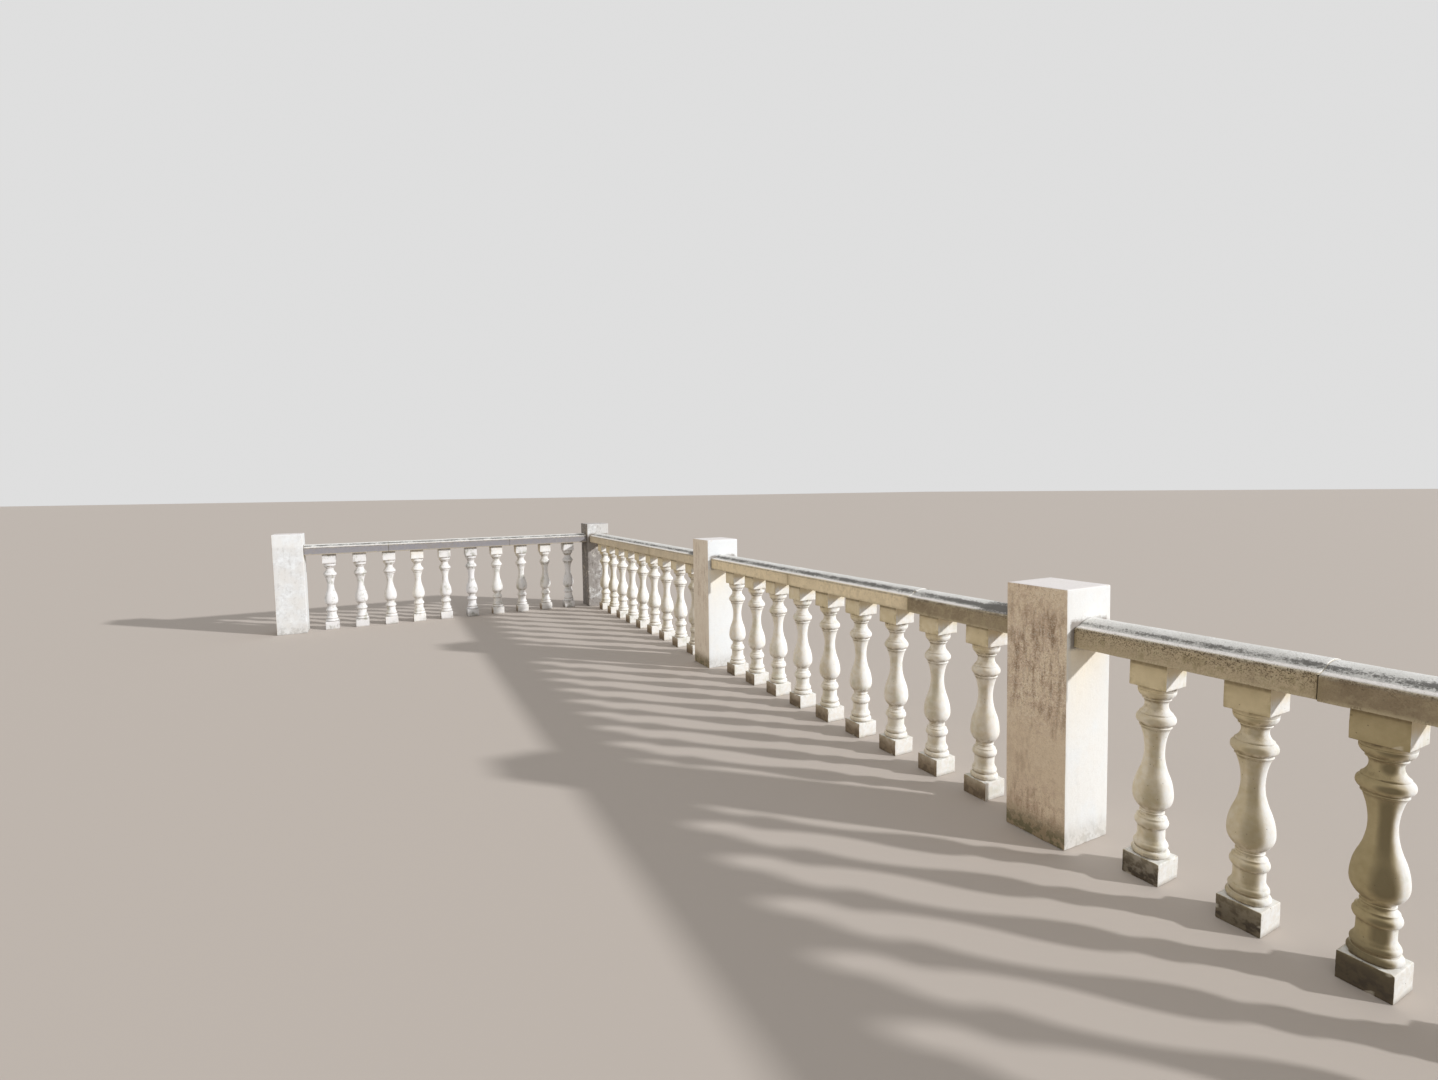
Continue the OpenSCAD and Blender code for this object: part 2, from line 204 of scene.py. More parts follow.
# Turned balusters. A pair is a diameter and a height.
balusterShape = {
    "height": 879, "plinthWide": 138, "plinthHigh": 90, "abacusWide": 139, "abacusHigh": 103,
    "footRound": (133, 28), "footNotch": (108, 3), "footBead": (120, 27),
    "drumFoot": (108, 20), "drum": (95, 55), "ring": (117, 43), "ringLip": (105, 18),
    "waistWide": 80, "waistFillet": (86, 5), "vase": (139, 67), "vaseBelly": 0.8, "vaseShoulder": 0.47,
    "neck": (69, 96), "collarFillet": (112, 7), "collar": (137, 48), "collarLip": (116, 36),
    "capNeck": (79, 20), "capFillet": (99, 7), "echinus": (131, 31), "echinusSweep": 60,
    "abacusFillet": (132, 14), "quirk": 3,
}
balusterWear = {
    "soften": 0.8,  # rounding of the turned edges
    "tolerance": 0.25, "longest": 15,  # how closely the outline is followed, and its longest step
    "blockEdge": 3,  # rounding of the blocks' arrises
    "blockPoints": 480,  # the more points round a baluster, the closer the rings up its blocks
    "leastGap": 60,  # what lies at least between two balusters
    "firstSeed": 100, "seedShift": 37.0,
    "swell": (0.55, 52), "grit": (0.22, 11),  # height and width
    "plinthGrit": 1.6, "plinthFade": 12,  # rougher plinths, and the height over which that ends
    "hollows": ((13, 9), (3.5, 1.5)),  # reach of a look for hollows, and the depth that is fully hollow
    "borderWide": 9,  # darker rim of each block's face
    "chips": 4,  # bites out of each block's arrises
    "chipSize": (5, 13),
    "cornerChips": 0.85,  # share of each face's width beyond which a chip sits on the corner
    "chipOff": (0.35, 0.6), "cornerOff": 0.3,  # shares of a chip's radius by which its middle is outside
    "turn": 0.7,  # degrees that a baluster may stand twisted
    "greySpread": 0.6,
    # points round a baluster, how tanned (per bay and for the nearest three partly painted shade and bounce
    # light), how far that varies, how grey (lichen, partly painted tree shade), how muddy, how far its top
    # leans
    "all": {"around": 40, "tone": 0, "vary": 0.15, "greyed": 0, "muddy": 0.7, "lean": (0, 0)},
    "own": {
        "third": {"around": 72, "tone": 0.45, "muddy": 1},
        "second": {"around": 56, "tone": 0.06, "muddy": 0.82},
        "first": {"tone": 0.22, "greyed": 0.15, "muddy": 0.77},
        "return": {"greyed": 0.72},
        "third_1": {"tone": 0.32, "vary": 0, "lean": (5, 0)},
        "third_2": {"tone": 0.5, "vary": 0, "lean": (-4, 0)},
        "third_3": {"tone": 1.04, "vary": 0},
    },
}


def arcPoints(centre, radius, start, end, steps=12):
    turn = np.radians(np.linspace(start, end, steps + 1))
    return [(centre[0] + radius * math.cos(t), centre[1] + radius * math.sin(t)) for t in turn]


def coveRadius(height, depth):
    return (height * height + depth * depth) / (2 * depth)


def hollowUp(lip, neck, z, height):  # a cove that narrows upwards
    radius = coveRadius(height, lip - neck)
    return arcPoints((neck + radius, z + height), radius, 180 + math.degrees(math.asin(height / radius)), 180)


def hollowOut(neck, lip, z, height):  # a cove that widens upwards
    radius = coveRadius(height, lip - neck)
    return arcPoints((neck + radius, z), radius, 180, 180 - math.degrees(math.asin(height / radius)))


def roundBead(out, z, height, below, above):
    half = height / 2
    centre = out - half
    start, end = [math.degrees(math.acos(clamp((r - centre) / half))) for r in (below, above)]
    return arcPoints((centre, z + half), half, -start, end)


def fillet(out, z, height):
    return [(out, z), (out, z + height)]


def meetingArcs(outer, inner, height, share):  # radii and turn of two arcs that meet smoothly
    both = coveRadius(height, outer - inner)
    return both * share, both * (1 - share), math.degrees(math.atan2(height, both - (outer - inner)))


def turnedOutline(s):
    out = {name: size[0] / 2 for name, size in s.items() if isinstance(size, tuple)}
    high = {name: size[1] for name, size in s.items() if isinstance(size, tuple)}
    quirk, waist = s["quirk"], s["waistWide"] / 2
    behind = {name: half - quirk for name, half in out.items()}
    z = {}  # the foot of each member, counted up from the plinth, and down from the abacus
    widest = s["plinthHigh"]
    for name in ("footRound", "footNotch", "footBead", "drum", "ring", "ringLip", "waistFillet", "vase"):
        z[name] = widest
        widest += high[name]
    above = s["height"] - s["abacusHigh"]
    for name in ("abacusFillet", "echinus", "capFillet", "capNeck",
                 "collarLip", "collar", "collarFillet", "neck"):
        above -= high[name]
        z[name] = above

    def bead(name, below, above):
        return roundBead(out[name], z[name], high[name], below, above)

    belly, bellyHollow, bellyEnd = meetingArcs(out["vase"], waist, high["vase"], s["vaseBelly"])
    rise = z["neck"] - widest
    shoulder, hollow, shoulderEnd = meetingArcs(out["vase"], out["neck"], rise, s["vaseShoulder"])
    hollowEnd = math.degrees(math.asin(high["neck"] / hollow))
    echinusRound = (high["echinus"] - quirk) / math.sin(math.radians(s["echinusSweep"]))
    echinusMiddle = (out["echinus"] - echinusRound, z["abacusFillet"] - quirk)
    return np.array(
        bead("footRound", 0, out["footNotch"])
        + bead("footBead", out["footNotch"], out["drumFoot"])
        + hollowUp(out["drumFoot"], out["drum"], z["drum"], high["drumFoot"])
        + bead("ring", out["drum"], behind["ringLip"])
        + [(behind["ringLip"], z["ringLip"] - quirk)]
        + hollowUp(out["ringLip"], waist, z["ringLip"], high["ringLip"])
        + fillet(out["waistFillet"], z["waistFillet"], high["waistFillet"])
        + arcPoints((waist + bellyHollow, z["vase"]), bellyHollow, 180, 180 - bellyEnd)
        + arcPoints((out["vase"] - belly, widest), belly, -bellyEnd, 0, 16)
        + arcPoints((out["vase"] - shoulder, widest), shoulder, 0, shoulderEnd, 14)
        + arcPoints((out["neck"] + hollow, z["neck"]), hollow, 180 + shoulderEnd, 180 - hollowEnd, 24)
        + fillet(out["collarFillet"], z["collarFillet"], high["collarFillet"] - quirk)
        + [(behind["collarFillet"], z["collar"] - quirk)]
        + bead("collar", behind["collarFillet"], behind["collarLip"])
        + [(behind["collarLip"], z["collarLip"] - quirk)]
        + hollowUp(out["collarLip"], out["capNeck"], z["collarLip"], high["collarLip"])
        + hollowOut(out["capNeck"], behind["capFillet"], z["capNeck"], high["capNeck"])
        + fillet(out["capFillet"], z["capFillet"], high["capFillet"] - quirk)
        + [(behind["capFillet"], z["echinus"] - quirk)]
        + arcPoints(echinusMiddle, echinusRound, -s["echinusSweep"], 0)
        + fillet(behind["abacusFillet"], z["abacusFillet"] - quirk, quirk)
        + fillet(out["abacusFillet"], z["abacusFillet"], high["abacusFillet"])
    )


# The outline walked in small even steps, its sharp turns worn round, and thinned again
def wornOutline(points, wear):
    step, soften = 0.5, wear["soften"]
    length = np.concatenate([[0], np.cumsum(np.linalg.norm(np.diff(points, axis=0), axis=1))])
    walk = np.arange(0, length[-1], step)
    dense = np.stack([np.interp(walk, length, points[:, k]) for k in (0, 1)], axis=1)
    reach = int(4 * soften / step)
    weights = np.exp(-0.5 * (np.arange(-reach, reach + 1) * step / soften) ** 2)
    weights /= weights.sum()
    before = 2 * dense[0] - dense[reach:0:-1]
    after = 2 * dense[-1] - dense[-2:-reach - 2:-1]
    padded = np.concatenate([before, dense, after])
    worn = np.stack([np.convolve(padded[:, k], weights, "valid") for k in (0, 1)], axis=1)
    return thinned(worn, wear["tolerance"], wear["longest"])


# Fewer points: only those that keep the outline within the tolerance, and none too far apart
def thinned(points, tolerance, longest):
    keep = [0, len(points) - 1]
    spans = [(0, len(points) - 1)]
    while spans:
        a, b = spans.pop()
        if b - a < 2:
            continue
        chord = points[b] - points[a]
        size = np.linalg.norm(chord)
        between = points[a + 1:b] - points[a]
        off = np.abs(between[:, 0] * chord[1] - between[:, 1] * chord[0]) / size
        worst = int(off.argmax())
        if off[worst] > tolerance or size > longest:
            middle = a + 1 + (worst if off[worst] > tolerance else (b - a) // 2 - 1)
            keep.append(middle)
            spans += [(a, middle), (middle, b)]
    return points[sorted(keep)]


def towards(turn):
    return np.array([math.cos(turn), math.sin(turn)])


# Points round a square with worn corners, five at each corner, counterclockwise
def squareRound(half, edge, count):
    faceSteps = count // 4 - 4
    inner = half - edge
    spots = []
    for side in range(4):
        turn = math.radians(90 * side + 45)
        corner = inner * math.sqrt(2) * towards(turn)
        spots += [corner + edge * towards(turn + math.radians(22.5 * k)) for k in range(-2, 3)]
        outward = towards(math.radians(90 * side + 90))
        along = np.array([-outward[1], outward[0]])
        spots += [outward * half + along * inner * (2 * k / faceSteps - 1) for k in range(1, faceSteps)]
    return np.array(spots)


# As many points round a circle, each beside its partner on the square
def discRound(radius, count):
    turn = math.radians(45) + 2 * math.pi * (np.arange(count) - 2) / count
    return radius * np.stack([np.cos(turn), np.sin(turn)], axis=1)


def levelRing(spots, z):
    return np.column_stack([spots, np.full(len(spots), z)])


arrisBends = np.radians([0, 30, 60, 90])  # round a worn arris


# Rings up a square block, its upper and lower arrises worn round
def blockRings(half, low, high, edge, count, spacing):
    arris = []
    for t in arrisBends:
        arris.append((squareRound(half - edge + edge * math.sin(t), edge, count), edge * (1 - math.cos(t))))
    upright = squareRound(half, edge, count)
    steps = max(2, round((high - low - 2 * edge) / spacing))
    rings = [levelRing(spots, low + rise) for spots, rise in arris]
    rings += [levelRing(upright, z) for z in np.linspace(low + edge, high - edge, steps + 1)[1:]]
    rings += [levelRing(spots, high - rise) for spots, rise in reversed(arris[:-1])]
    return rings


def blendRings(a, b, steps=3):
    return [a + (b - a) * k / steps for k in range(1, steps)]


def blocksOf(shape):  # half width, foot and top of the plinth and of the abacus
    abacusFoot = shape["height"] - shape["abacusHigh"]
    yield shape["plinthWide"] / 2, 0, shape["plinthHigh"]
    yield shape["abacusWide"] / 2, abacusFoot, shape["height"]


def balusterRings(shape, wear, count):
    outline = wornOutline(turnedOutline(shape), wear)
    edge, spacing = wear["blockEdge"], wear["blockPoints"] / count
    plinth, abacus = [blockRings(*block, edge, count, spacing) for block in blocksOf(shape)]
    shaft = [levelRing(discRound(r, count), z) for r, z in outline]
    toShaft = blendRings(plinth[-1], shaft[0])
    toAbacus = blendRings(shaft[-1], abacus[0])
    rings = plinth + toShaft + shaft + toAbacus + abacus
    hollow = np.zeros(len(rings))
    start = len(plinth) + len(toShaft)
    hollow[start:start + len(shaft)] = hollowness(outline, wear["hollows"])
    return np.array(rings), hollow


# How far each point of the outline lies behind its neighbourhood, from 0 to 1
def hollowness(outline, looks):
    near = np.abs(outline[:, None, 1] - outline[None, :, 1])
    radius = outline[:, 0]
    share = 0
    for reach, deep in looks:
        weights = np.exp(-0.5 * (near / reach) ** 2)
        behind = (weights @ radius) / weights.sum(1) - radius
        share = share + clamp(behind / deep) / len(looks)
    return share


def carveBaluster(clean, hollow, shape, wear, dice, seed):
    level = clean[..., 2]
    onPlinth = clamp((shape["plinthHigh"] + wear["plinthFade"] - level) / wear["plinthFade"])
    slow, fine = unevenness(clean + seed * wear["seedShift"], wear, seed, seed + 5)
    lift = slow + fine * (1 + wear["plinthGrit"] * onPlinth)
    rings = clean + ringNormals(clean) * lift[..., None]
    worn, border = np.zeros((2, *rings.shape[:2]))
    across = np.abs(clean[..., :2]).min(axis=2)
    for half, low, high in blocksOf(shape):
        inside = np.minimum(np.minimum(half - across, level - low), high - level)
        border += np.where((level >= low) & (level <= high), np.exp(-np.abs(inside) / wear["borderWide"]), 0)
        for _ in range(wear["chips"]):
            radius = dice.uniform(*wear["chipSize"])
            turn = Matrix.Rotation(math.radians(90 * int(dice.integers(4))), 3, "Z")
            place = dice.uniform(-1, 1)
            atCorner = abs(place) > wear["cornerChips"]
            height = dice.uniform(low, high) if atCorner else dice.choice([low, high])
            beside = (half + radius * wear["cornerOff"]) * np.sign(place) if atCorner else half * place
            spot = turn @ Vector((half + radius * dice.uniform(*wear["chipOff"]), beside, height))
            worn[chipOut(rings, np.array(spot), radius, seed)] = 1
    rings[..., 2] = np.clip(rings[..., 2], 0, shape["height"])
    return rings, {"border": border, "worn": worn, "hollow": hollow[:, None]}


# Middles of the balusters of a CAD node, told apart by the gaps between them
def middlesOf(node):
    low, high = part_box(node)
    spots = np.array([v.co for v in cadNodes[node].data.vertices])
    way = 0 if high.x - low.x > high.y - low.y else 1
    order = np.unique(spots[:, way])
    gaps = np.where(np.diff(order) > balusterWear["leastGap"] * mm)[0]
    middles = [(group[0] + group[-1]) / 2 for group in np.split(order, gaps + 1)]
    fixed = (low[1 - way] + high[1 - way]) / 2
    return [(m, fixed) if way == 0 else (fixed, m) for m in middles]


def makeBalusters(shape, wear, finish):
    made = 0
    inBay = {}
    for node in nodesOf("_balusters_"):
        bay = node.split("_")[0]
        clean, hollow = balusterRings(shape, wear, valuesFor(wear, bay)["around"])
        skins = []
        for x, y in middlesOf(node):
            made += 1
            inBay[bay] = inBay.get(bay, 0) + 1
            own = valuesFor(wear, bay, f"{bay}_{inBay[bay]}")
            seed = wear["firstSeed"] + made
            dice = np.random.default_rng(seed)
            rings, masks = carveBaluster(clean, hollow, shape, wear, dice, seed)
            masks["tone"] = own["tone"] + dice.uniform(-1, 1) * own["vary"]
            masks["greyed"] = own["greyed"] * (1 + dice.uniform(-1, 1) * wear["greySpread"])
            masks["muddy"] = own["muddy"]
            outOfPlumb(rings, own["lean"], shape["height"])
            turn = np.array(Matrix.Rotation(math.radians(dice.uniform(-1, 1) * wear["turn"]), 3, "Z"))
            skins.append((rings @ turn.T * mm + (x, y, 0), masks))
        pieceFrom(node, skins, finish)
    print("balusters", made)


# Rail stones: upright faces, sloping margins and a rounded crown
railShape = {"marginWide": 36, "marginRise": 8, "crownRise": 25}
railWear = {
    "soften": 1.6, "endEdge": 1.4,  # rounding of the long arrises and of the ends
    "tolerance": 0.16, "longest": 9,  # how closely the section is followed, and its longest step
    "soffitRim": 12,  # further in than this rim the soffit has every second point
    "firstSeed": 300, "seedShift": 53.0,
    "swell": (0.7, 60), "grit": (0.3, 13),  # height and width
    "sway": (0.9, 210), "dip": (0.63, 260),  # slow bends sideways and of the top, height and length
    "chipsPerMetre": 9, "chipSize": (4, 9), "topChips": 0.7,  # so many of them above
    "chipOff": (0.4, 0.45, 0.5),  # of its radius, from a chip's middle to the side, the arris and the foot
    "endChips": 3, "endChipSize": (6, 14), "endChipOff": (0.5, 0.4), "endChipSink": 2, "endChipAside": 1.03,
    "topFade": 3, "endDirt": 22, "faceDeep": 4,  # how wide each painted edge is
    "arrisWide": 7, "lineHigh": 5, "lowerEdgeHigh": 12, "pitsHigh": 62,
    "lichenWide": 8, "lichenLeast": 3,
    "pierShadowLong": 235, "pierShadowFade": 45, "reachLong": 40,
    # tone from brown to pale, set per bay partly as painted light with the far bays paler, lichen grown at
    # each end, a painted pier shadow where the end lies in a pier's shade, reach of a start to the leaning
    # pier, settled across and up
    "all": {
        "vary": 0.1, "greyed": 0, "pitted": 0.25, "grown": (1.25, 1.35), "pierShadow": 0,
        "reach": 0, "settled": (0, 0), "spacing": 15,
    },
    "own": {
        "third": {"tone": 0.15, "spacing": 9}, "second": {"tone": 0.9, "spacing": 11},
        "first": {"tone": 0.85, "greyed": 0.2}, "return": {"tone": 0.75, "greyed": 0.9},
        "third_rail_1": {"tone": 0.36, "vary": 0, "pitted": 1, "grown": (0.6, 1.1), "reach": 8},
        "third_rail_2": {"tone": 0.03, "vary": 0, "pitted": 0.3, "grown": (1.15, 1.2), "settled": (-2, -3)},
        "third_rail_3": {"pitted": 0.8, "pierShadow": 1},
        "second_rail_3": {"tone": 0.12, "vary": 0, "pitted": 0.6, "settled": (-3, -3), "pierShadow": 1},
        "first_rail_1": {"grown": (0.8, 1)}, "first_rail_2": {"grown": (0.9, 1), "pierShadow": 1},
    },
}


def railOutline(shape, half, low, high):
    edge = high - shape["crownRise"] - shape["marginRise"]
    foot = half - shape["marginWide"]
    radius = (foot * foot + shape["crownRise"] ** 2) / (2 * shape["crownRise"])
    sweep = math.degrees(math.asin(foot / radius))
    crown = arcPoints((0, high - radius), radius, 90 - sweep, 90 + sweep, 24)
    outline = [(0, low), (half, low), (half, edge), *crown, (-half, edge), (-half, low), (0, low)]
    return np.array(outline), edge, foot


# Rings along a stone, its end arrises worn round
def railRings(outline, wear, half, start, end, spacing):
    section = wornOutline(outline, wear)[:-1]
    onSoffit = (section[:, 1] < outline[0, 1] + 1) & (np.abs(section[:, 0]) < half - wear["soffitRim"])
    section = section[~onSoffit | (np.arange(len(section)) % 2 == 0)]
    slope = np.roll(section, -1, axis=0) - np.roll(section, 1, axis=0)
    outward = np.stack([slope[:, 1], -slope[:, 0]], axis=1)
    outward /= np.linalg.norm(outward, axis=1, keepdims=True)
    rounding = wear["endEdge"]
    ends = [(rounding * (1 - math.cos(t)), rounding * (1 - math.sin(t))) for t in arrisBends]
    steps = round((end - start - 2 * rounding) / spacing)
    stations = [(start + u, inset) for u, inset in ends]
    stations += [(u, 0) for u in np.linspace(start + rounding, end - rounding, steps + 1)[1:-1]]
    stations += [(end - u, inset) for u, inset in reversed(ends)]
    return np.array([np.insert(section - outward * inset, 0, u, axis=1) for u, inset in stations])


def makeRails(shape, wear, finish):
    for number, node in enumerate(nodesOf("_rail_")):
        own = valuesFor(wear, node.split("_")[0], node)
        low, high = np.array(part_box(node)) / mm
        lengthwise = 0 if high[0] - low[0] > high[1] - low[1] else 1
        start, end = low[lengthwise], high[lengthwise]
        half = (high[1 - lengthwise] - low[1 - lengthwise]) / 2
        outline, edge, foot = railOutline(shape, half, low[2], high[2])
        rings = railRings(outline, wear, half, start, end, own["spacing"])
        rings, masks = carveRail(rings, shape, wear, own, (half, edge, foot, start, end), number)
        grown = np.interp(rings[..., 0], (start, end), own["grown"])
        wide = wear["lichenWide"]
        belt = (np.abs(rings[..., 1]) - foot + wide + wide * grown) / (wear["lichenLeast"] + wide * grown)
        masks["crownFoot"] = np.exp(-0.5 * belt ** 2) * masks["onTop"] * (0.5 + 0.5 * grown)
        # painted shadow of the pier over the end of the rail that lies in its shade
        shadeZone = clamp((rings[..., 0] - end + wear["pierShadowLong"]) / wear["pierShadowFade"])
        masks["pierShadow"] = shadeZone * own["pierShadow"]
        rings[..., 0] -= own["reach"] * clamp(1 - (rings[..., 0] - start) / wear["reachLong"])
        rings[..., 1:] += own["settled"]
        if lengthwise == 1:
            rings = np.stack([-rings[..., 1], rings[..., 0], rings[..., 2]], axis=2)
        middle = (low + high) / 2
        middle[lengthwise], middle[2] = 0, 0
        pieceFrom(node, [((rings + middle) * mm, masks)], finish)
    print("rail stones ready")


def carveRail(flat, shape, wear, own, sizes, number):
    half, edge, foot, start, end = sizes
    seed = wear["firstSeed"] + number
    dice = np.random.default_rng(seed)
    along, across, height = flat.transpose(2, 0, 1)
    lowest = height.min()
    onTop = clamp((height - edge) / wear["topFade"])
    slow, fine = unevenness(flat + seed * wear["seedShift"], wear, seed, seed + 3)
    rings = flat + ringNormals(flat) * (slow + fine)[..., None]
    line = flat[:, :1] * (1, 0, 0) + seed  # the bends are the same all round a ring
    (sway, swayLong), (dip, dipLong) = wear["sway"], wear["dip"]
    rings[..., 1] += sway * softNoise(line, swayLong, seed + 7)
    rings[..., 2] += dip * softNoise(line, dipLong, seed + 8) * onTop
    worn = np.zeros(rings.shape[:2])
    beside, above, under = wear["chipOff"]
    metres = (end - start) * mm
    for k in range(round(wear["chipsPerMetre"] * metres)):
        radius = dice.uniform(*wear["chipSize"])
        side = dice.choice([-1, 1])
        onUpper = dice.uniform() < wear["topChips"]
        level = edge + radius * above if onUpper else lowest - radius * under
        spot = np.array([dice.uniform(start, end), side * (half + radius * beside), level])
        worn[chipOut(rings, spot, radius, seed + k)] = 1
    crownFoot = edge + (shape["marginRise"] - wear["endChipSink"])
    crownTop = edge + (shape["marginRise"] + shape["crownRise"] - wear["endChipSink"])
    beyond, over = wear["endChipOff"]
    for place in (start, end):
        for k in range(wear["endChips"]):
            radius = dice.uniform(*wear["endChipSize"])
            aside = dice.choice([-half, half, dice.uniform(-foot, foot)])
            level = edge if abs(aside) == half else np.interp(abs(aside), [0, foot], [crownTop, crownFoot])
            out = np.sign(place - (start + end) / 2)
            aside *= wear["endChipAside"]
            spot = np.array([place + out * radius * beyond, aside, level + radius * over])
            worn[chipOut(rings, spot, radius, seed + 40 + k)] = 1
    side = np.abs(across)
    below = edge - height
    onFace = side > half - wear["faceDeep"]
    fromEnd = np.minimum(along - start, end - along)
    arris = clamp(1 - np.abs(side - half) / wear["arrisWide"])
    masks = {
        "onTop": onTop,
        "margin": clamp((side - foot) / wear["topFade"]) * onTop,
        "nearEnd": np.exp(-fromEnd / wear["endDirt"]),
        "underArris": clamp(1.3 - np.abs(below - wear["lineHigh"]) / wear["lineHigh"]) * onFace,
        "arris": arris * clamp(1 - np.abs(below) / wear["arrisWide"]),
        "lowerEdge": clamp(1.2 - (height - lowest) / wear["lowerEdgeHigh"]) * onFace,
        "upperFace": np.clip(1.25 - below / wear["pitsHigh"], 0.2, 1),
        "worn": worn,
        "tone": own["tone"] + dice.uniform(-1, 1) * own["vary"],
        "greyed": own["greyed"],
        "pitted": own["pitted"],
    }
    return rings, masks


# Piers: plain shafts in a hand-floated render
pierWear = {
    "edge": 5,  # rounding of the arrises
    "topSteps": 8, "topMiddle": 0.06,  # rings over the flat top, and the last one's size
    "firstSeed": 500, "seedShift": 41.0,
    "swell": (1.1, 170), "grit": (0.25, 16),  # height and width
    "footErosion": (2.2, 45), "footHigh": 60,
    "chips": 14, "chipSize": (4, 11), "chipOff": 0.45,
    "sideChips": 0.6,  # share of the chips on the upright arrises
    "railHalf": 114, "railFoot": 884, "railTop": 985, "seamWide": 16,  # where dirt gathers and shade is painted by the rail
    "runWide": 30, "runStart": 15, "runLong": 160,  # where warm light is painted into the rail's shadow, on the pier's face below the rail's end
    "shadeZoneHigh": 40, "shadeAcross": 240,
    # points round a pier, spacing of its rings, how stained and grey it is (partly painted light: the far
    # pier paler, the corner pier greyed for tree shade), how far its top leans
    "all": {
        "around": 64, "spacing": 18, "tone": 0.5, "greyed": 0, "lean": (0, 0), "railSides": ((1, 0), (-1, 0)),
    },
    "own": {
        "second_pier": {"around": 96, "spacing": 11, "tone": 0.9, "lean": (-8, -13)},
        "first_pier": {"around": 80, "spacing": 14, "tone": 0.1},
        "corner_pier": {"tone": 0.8, "greyed": 1, "railSides": ((1, 0), (0, -1))},
        "return_end_pier": {"greyed": 0.25, "railSides": ((0, 1),)},
        "run_end_pier": {"railSides": ((-1, 0),)},
    },
}


def makePiers(wear, finish):
    for number, node in enumerate(nodesOf("_pier")):
        own = valuesFor(wear, node)
        low, high = np.array(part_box(node)) / mm
        half = (high[0] - low[0]) / 2
        tall = high[2]
        rings = blockRings(half, 0, tall, wear["edge"], own["around"], own["spacing"])
        inwards = np.linspace(1, wear["topMiddle"], wear["topSteps"] + 1)[1:]
        flatTop = [rings[-1] * (k, k, 1) for k in inwards]
        rings, masks = carvePier(np.array(rings + flatTop), wear, own["railSides"], half, tall, number)
        masks["tone"], masks["greyed"] = own["tone"], own["greyed"]
        outOfPlumb(rings, own["lean"], tall)
        middle = (low + high) / 2 * (1, 1, 0)
        pieceFrom(node, [((rings + middle) * mm, masks)], finish)
    print("piers ready")


def carvePier(flat, wear, railSides, half, tall, number):
    seed = wear["firstSeed"] + number
    dice = np.random.default_rng(seed)
    x, y, level = flat.transpose(2, 0, 1)
    shifted = flat + seed * wear["seedShift"]
    slow, fine = unevenness(shifted, wear, seed, seed + 3)
    erosion, erosionWide = wear["footErosion"]
    foot = clamp(1 - level / wear["footHigh"])
    eaten = erosion * foot * clamp(0.3 + brokenNoise(shifted, erosionWide, seed + 9))
    rings = flat + ringNormals(flat) * (slow + fine - eaten)[..., None]
    worn, seam, run = np.zeros((3, *rings.shape[:2]))
    for k in range(wear["chips"]):
        radius = dice.uniform(*wear["chipSize"])
        sides = dice.choice([-1, 1], 2)
        off = radius * wear["chipOff"]
        if dice.uniform() < wear["sideChips"]:
            spot = np.array([sides[0] * (half + off), sides[1] * (half + off), dice.uniform(0, tall)])
        else:
            spot = np.array([sides[0] * (half + off), dice.uniform(-half, half), tall + off])
            if dice.uniform() < 0.5:
                spot = spot[[1, 0, 2]]
        worn[chipOut(rings, spot, radius, seed + k)] = 1
    rings[..., 2] = np.clip(rings[..., 2], 0, tall + 1)
    under = wear["railFoot"] - level
    below = np.maximum(under, 0)
    pastRail = np.maximum(level - wear["railTop"], below)
    for wayX, wayY in railSides:
        beside = np.maximum(np.abs(x * wayY - y * wayX) - wear["railHalf"], 0)
        onFace = x * wayX + y * wayY > half - wear["edge"]
        seam += onFace * np.exp(-np.hypot(beside, pastRail) / wear["seamWide"])
        fading = clamp(under / wear["runStart"]) * np.exp(-below / wear["runLong"])
        run += onFace * np.exp(-beside / wear["runWide"]) * fading
    shadeZone = wear["shadeZoneHigh"] / (wear["shadeZoneHigh"] + below)
    run *= clamp(0.55 - y / wear["shadeAcross"] + shadeZone)  # painted warm light is strongest on the terrace side, where the rail's shadow falls
    inner = 1 - np.minimum(np.abs(x), np.abs(y)) / half
    return rings, {"worn": worn, "seam": seam, "inner": inner, "run": run}


# A value that changes over the stone, in formulas that build their own nodes
class Field:
    def __init__(self, finish, socket):
        self.finish = finish
        self.socket = socket

    def __add__(self, other):
        return self.finish.maths("ADD", self, other)

    def __sub__(self, other):
        return self.finish.maths("SUBTRACT", self, other)

    def __rsub__(self, other):
        return self.finish.maths("SUBTRACT", other, self)

    def __mul__(self, other):
        return self.finish.maths("MULTIPLY", self, other)

    __radd__ = __add__
    __rmul__ = __mul__

    def between(self, low, high):  # 0 up to low, 1 from high on, smooth between them
        step = self.finish.add("ShaderNodeMapRange", self, low, high, interpolation_type="SMOOTHSTEP")
        return Field(self.finish, step.outputs[0])


